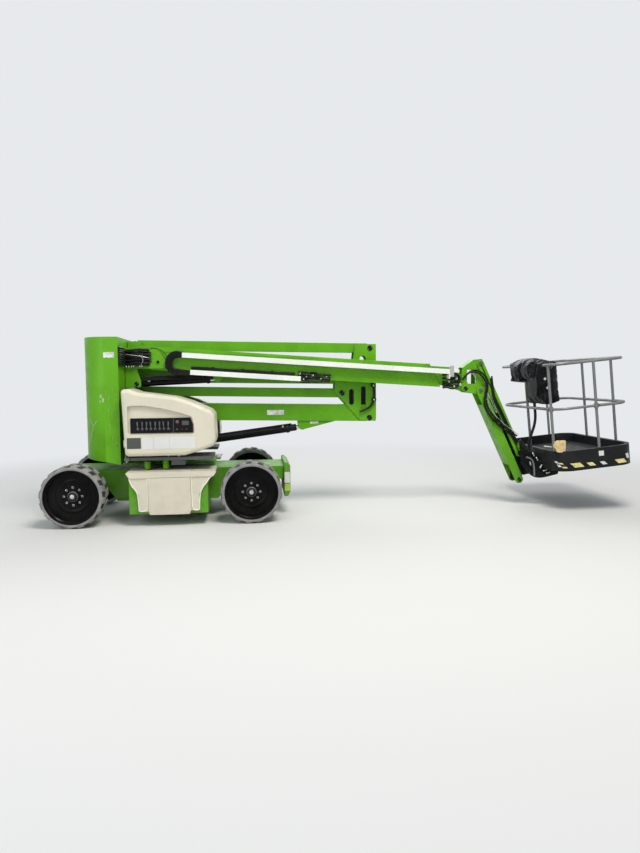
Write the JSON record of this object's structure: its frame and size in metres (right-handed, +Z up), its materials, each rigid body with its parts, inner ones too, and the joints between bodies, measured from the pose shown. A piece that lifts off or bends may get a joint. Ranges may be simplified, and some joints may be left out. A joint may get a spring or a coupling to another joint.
{
  "type": "articulating boom lift",
  "caption": "Self-propelled articulating boom lift, folded: two-stage riser stack, telescopic boom with a hose chain, jib and railed work platform on a slewing base with steered wheels.",
  "frame": {"origin": "centre of the whole machine's outline, on the floor", "axes": "+X forward to the platform, +Y to the machine's left, +Z up"},
  "size_m": [7.0262, 1.75, 2.15],
  "materials": {
    "tyre_rubber": "dusty, worn",
    "wheel_paint": "satin",
    "green_paint": "gloss, scratched in places",
    "grey_paint": "matt, dirty",
    "cream_plastic": "faded, stained",
    "black_plastic": "matt",
    "black_paint": "satin",
    "rod_chrome": "polished",
    "white_paint": "gloss",
    "galvanised": "dull zinc grey",
    "tub_plastic": "matt, dusty",
    "cover_fabric": "soft, creased"
  },
  "bodies": {
    "chassis": {"chassis_frame": "green_paint", "bumper": "green_paint", "slew_ring": "grey_paint", "side_trays": "green_paint", "battery_packs": "black_plastic", "battery_covers": "cream_plastic", "rear_axle": "grey_paint", "front_axle": "grey_paint"},
    "knuckle_right": {"steering_knuckle_right": "grey_paint"},
    "knuckle_left": {"steering_knuckle_left": "grey_paint"},
    "tie_bar": {"tie_rod": "grey_paint"},
    "front_right_wheel": {"tyre_front_right": "tyre_rubber", "wheel_front_right": "wheel_paint"},
    "front_left_wheel": {"tyre_front_left": "tyre_rubber", "wheel_front_left": "wheel_paint"},
    "rear_right_wheel": {"tyre_rear_right": "tyre_rubber", "wheel_rear_right": "wheel_paint"},
    "rear_left_wheel": {"tyre_rear_left": "tyre_rubber", "wheel_rear_left": "wheel_paint"},
    "superstructure": {"turntable": "green_paint", "counterweight": "green_paint", "side_decks": "grey_paint", "hydraulic_units": "black_paint"},
    "right_hood": {"hood_right": "cream_plastic", "control_panel": "black_plastic"},
    "left_hood": {"hood_left": "cream_plastic"},
    "lower_arm": {"lower_boom": "green_paint"},
    "lower_tie_arm": {"lower_tie": "green_paint"},
    "middle_knuckle": {"mid_knuckle": "green_paint"},
    "upper_arm": {"upper_riser": "green_paint"},
    "upper_link_arm": {"riser_link": "green_paint"},
    "head": {"head_knuckle": "green_paint", "head_hoses": "black_plastic"},
    "lower_barrel": {"lower_cylinder_barrel": "green_paint"},
    "lower_rod": {"lower_cylinder_rod": "rod_chrome"},
    "outer_boom": {"boom_outer": "green_paint", "fixed_tray": "white_paint"},
    "inner_boom": {"boom_inner": "green_paint", "sliding_tray": "white_paint"},
    "hose_chain": {"energy_chain": "black_plastic"},
    "boom_barrel": {"boom_cylinder_barrel": "black_paint"},
    "boom_rod": {"boom_cylinder_rod": "rod_chrome"},
    "nose_knuckle": {"jib_knuckle": "green_paint"},
    "jib_arm": {"jib_beam": "green_paint", "jib_hoses": "black_plastic"},
    "jib_link_arm": {"jib_link": "green_paint"},
    "jib_barrel": {"jib_cylinder_barrel": "black_paint"},
    "jib_rod": {"jib_cylinder_rod": "rod_chrome"},
    "carrier": {"platform_carrier": "green_paint"},
    "platform": {"platform_bracket": "galvanised", "platform_tub": "tub_plastic", "guard_rail": "galvanised", "middle_rail": "galvanised", "rail_posts": "galvanised", "console_cover": "cover_fabric", "console_cables": "black_plastic"},
    "gate": {"gate_bar": "galvanised"}
  },
  "joints": [
    {"name": "steer_right", "type": "hinge", "parent": "chassis", "child": "knuckle_right", "pos_m": [-1.15809, -0.56, 0.355], "axis": [0, 0, 1], "range_deg": [-35, 35]},
    {"name": "steer_left", "type": "hinge", "parent": "chassis", "child": "knuckle_left", "pos_m": [-1.15809, 0.56, 0.355], "axis": [0, 0, 1], "range_deg": [-35, 35]},
    {"name": "tie_rod_slide", "type": "slide", "parent": "chassis", "child": "tie_bar", "axis": [0, 1, 0], "range_m": [-0.076, 0.076]},
    {"name": "front_right_wheel_spin", "type": "hinge", "parent": "knuckle_right", "child": "front_right_wheel", "pos_m": [-1.15809, -0.7225, 0.355], "axis": [0, 1, 0], "continuous": true},
    {"name": "front_left_wheel_spin", "type": "hinge", "parent": "knuckle_left", "child": "front_left_wheel", "pos_m": [-1.15809, 0.7225, 0.355], "axis": [0, 1, 0], "continuous": true},
    {"name": "rear_right_wheel_spin", "type": "hinge", "parent": "chassis", "child": "rear_right_wheel", "pos_m": [-3.15809, -0.7225, 0.355], "axis": [0, 1, 0], "continuous": true},
    {"name": "rear_left_wheel_spin", "type": "hinge", "parent": "chassis", "child": "rear_left_wheel", "pos_m": [-3.15809, 0.7225, 0.355], "axis": [0, 1, 0], "continuous": true},
    {"name": "slew", "type": "hinge", "parent": "chassis", "child": "superstructure", "pos_m": [-2.15809, 0, 0.62], "axis": [0, 0, 1], "range_deg": [-177, 177]},
    {"name": "right_hood_hinge", "type": "hinge", "parent": "superstructure", "child": "right_hood", "pos_m": [-2.56609, -0.772, 1.17], "axis": [0, 0, -1], "range_deg": [0, 75]},
    {"name": "left_hood_hinge", "type": "hinge", "parent": "superstructure", "child": "left_hood", "pos_m": [-2.56609, 0.772, 1.17], "axis": [0, 0, 1], "range_deg": [0, 75]},
    {"name": "riser_lift", "type": "hinge", "parent": "superstructure", "child": "lower_arm", "pos_m": [-2.20809, 0.06, 1.205], "axis": [0, -1, 0], "range_deg": [0, 62]},
    {"name": "lower_tie_swing", "type": "hinge", "parent": "superstructure", "child": "lower_tie_arm", "pos_m": [-2.56209, 0.06, 1.522], "axis": [0, -1, 0], "range_deg": [0, 62]},
    {"name": "middle_level", "type": "hinge", "parent": "lower_arm", "child": "middle_knuckle", "pos_m": [0.36191, 0.06, 1.151], "axis": [0, -1, 0], "range_deg": [-62, 0]},
    {"name": "upper_arm_swing", "type": "hinge", "parent": "middle_knuckle", "child": "upper_arm", "pos_m": [0.37091, 0.06, 1.662], "axis": [0, 1, 0], "range_deg": [0, 62]},
    {"name": "upper_link_swing", "type": "hinge", "parent": "middle_knuckle", "child": "upper_link_arm", "pos_m": [0.37091, 0.06, 2.037], "axis": [0, 1, 0], "range_deg": [0, 62]},
    {"name": "head_level", "type": "hinge", "parent": "upper_arm", "child": "head", "pos_m": [-2.55809, 0.06, 1.713], "axis": [0, -1, 0], "range_deg": [0, 62]},
    {"name": "lower_barrel_swing", "type": "hinge", "parent": "superstructure", "child": "lower_barrel", "pos_m": [-2.05809, 0.06, 0.845], "axis": [0, -1, 0], "range_deg": [0, 59.71]},
    {"name": "lower_rod_slide", "type": "slide", "parent": "lower_barrel", "child": "lower_rod", "axis": [0.9919, 0, 0.1269], "range_m": [0, 0.41476]},
    {"name": "boom_lift", "type": "hinge", "parent": "head", "child": "outer_boom", "pos_m": [-2.40809, -0.15, 1.99], "axis": [0, -1, 0], "range_deg": [0, 75]},
    {"name": "boom_barrel_swing", "type": "hinge", "parent": "head", "child": "boom_barrel", "pos_m": [-2.50709, -0.15, 1.609], "axis": [0, -1, 0], "range_deg": [0, 58.29]},
    {"name": "boom_rod_slide", "type": "slide", "parent": "boom_barrel", "child": "boom_rod", "axis": [0.9989, 0, 0.0479], "range_m": [0, 0.37024]},
    {"name": "nose_level", "type": "hinge", "parent": "inner_boom", "child": "nose_knuckle", "pos_m": [1.56291, -0.15, 1.512], "axis": [0, -1, 0], "range_deg": [-75, 0]},
    {"name": "telescope", "type": "slide", "parent": "outer_boom", "child": "inner_boom", "axis": [0.9977, 0, -0.0678], "range_m": [0, 1.9]},
    {"name": "chain_slide", "type": "slide", "parent": "outer_boom", "child": "hose_chain", "axis": [0.9977, 0, -0.0678], "range_m": [0, 0.95]},
    {"name": "jib_lift", "type": "hinge", "parent": "nose_knuckle", "child": "jib_arm", "pos_m": [1.75291, -0.15, 1.488], "axis": [0, -1, 0], "range_deg": [0, 120]},
    {"name": "jib_link_swing", "type": "hinge", "parent": "nose_knuckle", "child": "jib_link_arm", "pos_m": [1.74991, -0.15, 1.827], "axis": [0, -1, 0], "range_deg": [0, 120]},
    {"name": "carrier_level", "type": "hinge", "parent": "jib_arm", "child": "carrier", "pos_m": [2.27691, -0.15, 0.336], "axis": [0, -1, 0], "range_deg": [-120, 0]},
    {"name": "jib_barrel_swing", "type": "hinge", "parent": "jib_arm", "child": "jib_barrel", "pos_m": [2.25898, -0.15, 0.59763], "axis": [0, -1, 0], "range_deg": [-5.93, 0]},
    {"name": "jib_rod_slide", "type": "slide", "parent": "jib_barrel", "child": "jib_rod", "axis": [-0.3933, 0, 0.9194], "range_m": [-0.40807, 0]},
    {"name": "platform_rotate", "type": "hinge", "parent": "carrier", "child": "platform", "pos_m": [2.37565, -0.15, 0.51266], "axis": [-0.0958, 0, 0.9954], "range_deg": [-80, 80]},
    {"name": "gate_slide", "type": "slide", "parent": "platform", "child": "gate", "axis": [-0.0958, 0, 0.9954], "range_m": [0, 0.35]}
  ],
  "couplings": [
    {"joint": "steer_left", "follows": "steer_right", "ratio": 1},
    {"joint": "tie_rod_slide", "follows": "steer_right", "m_per_rad": 0.122},
    {"joint": "lower_tie_swing", "follows": "riser_lift", "ratio": 1},
    {"joint": "middle_level", "follows": "riser_lift", "ratio": -1},
    {"joint": "upper_arm_swing", "follows": "riser_lift", "ratio": 1},
    {"joint": "upper_link_swing", "follows": "riser_lift", "ratio": 1},
    {"joint": "head_level", "follows": "riser_lift", "ratio": 1},
    {"joint": "lower_barrel_swing", "follows": "riser_lift", "ratio": 0.96206},
    {"joint": "lower_rod_slide", "follows": "riser_lift", "m_per_rad": 0.3829},
    {"joint": "boom_barrel_swing", "follows": "boom_lift", "ratio": 0.77642},
    {"joint": "boom_rod_slide", "follows": "boom_lift", "m_per_rad": 0.28256},
    {"joint": "nose_level", "follows": "boom_lift", "ratio": -1},
    {"joint": "chain_slide", "follows": "telescope", "ratio": 0.5},
    {"joint": "jib_link_swing", "follows": "jib_lift", "ratio": 1},
    {"joint": "carrier_level", "follows": "jib_lift", "ratio": -1},
    {"joint": "jib_barrel_swing", "follows": "jib_lift", "ratio": -0.04938},
    {"joint": "jib_rod_slide", "follows": "jib_lift", "m_per_rad": -0.19464}
  ]
}
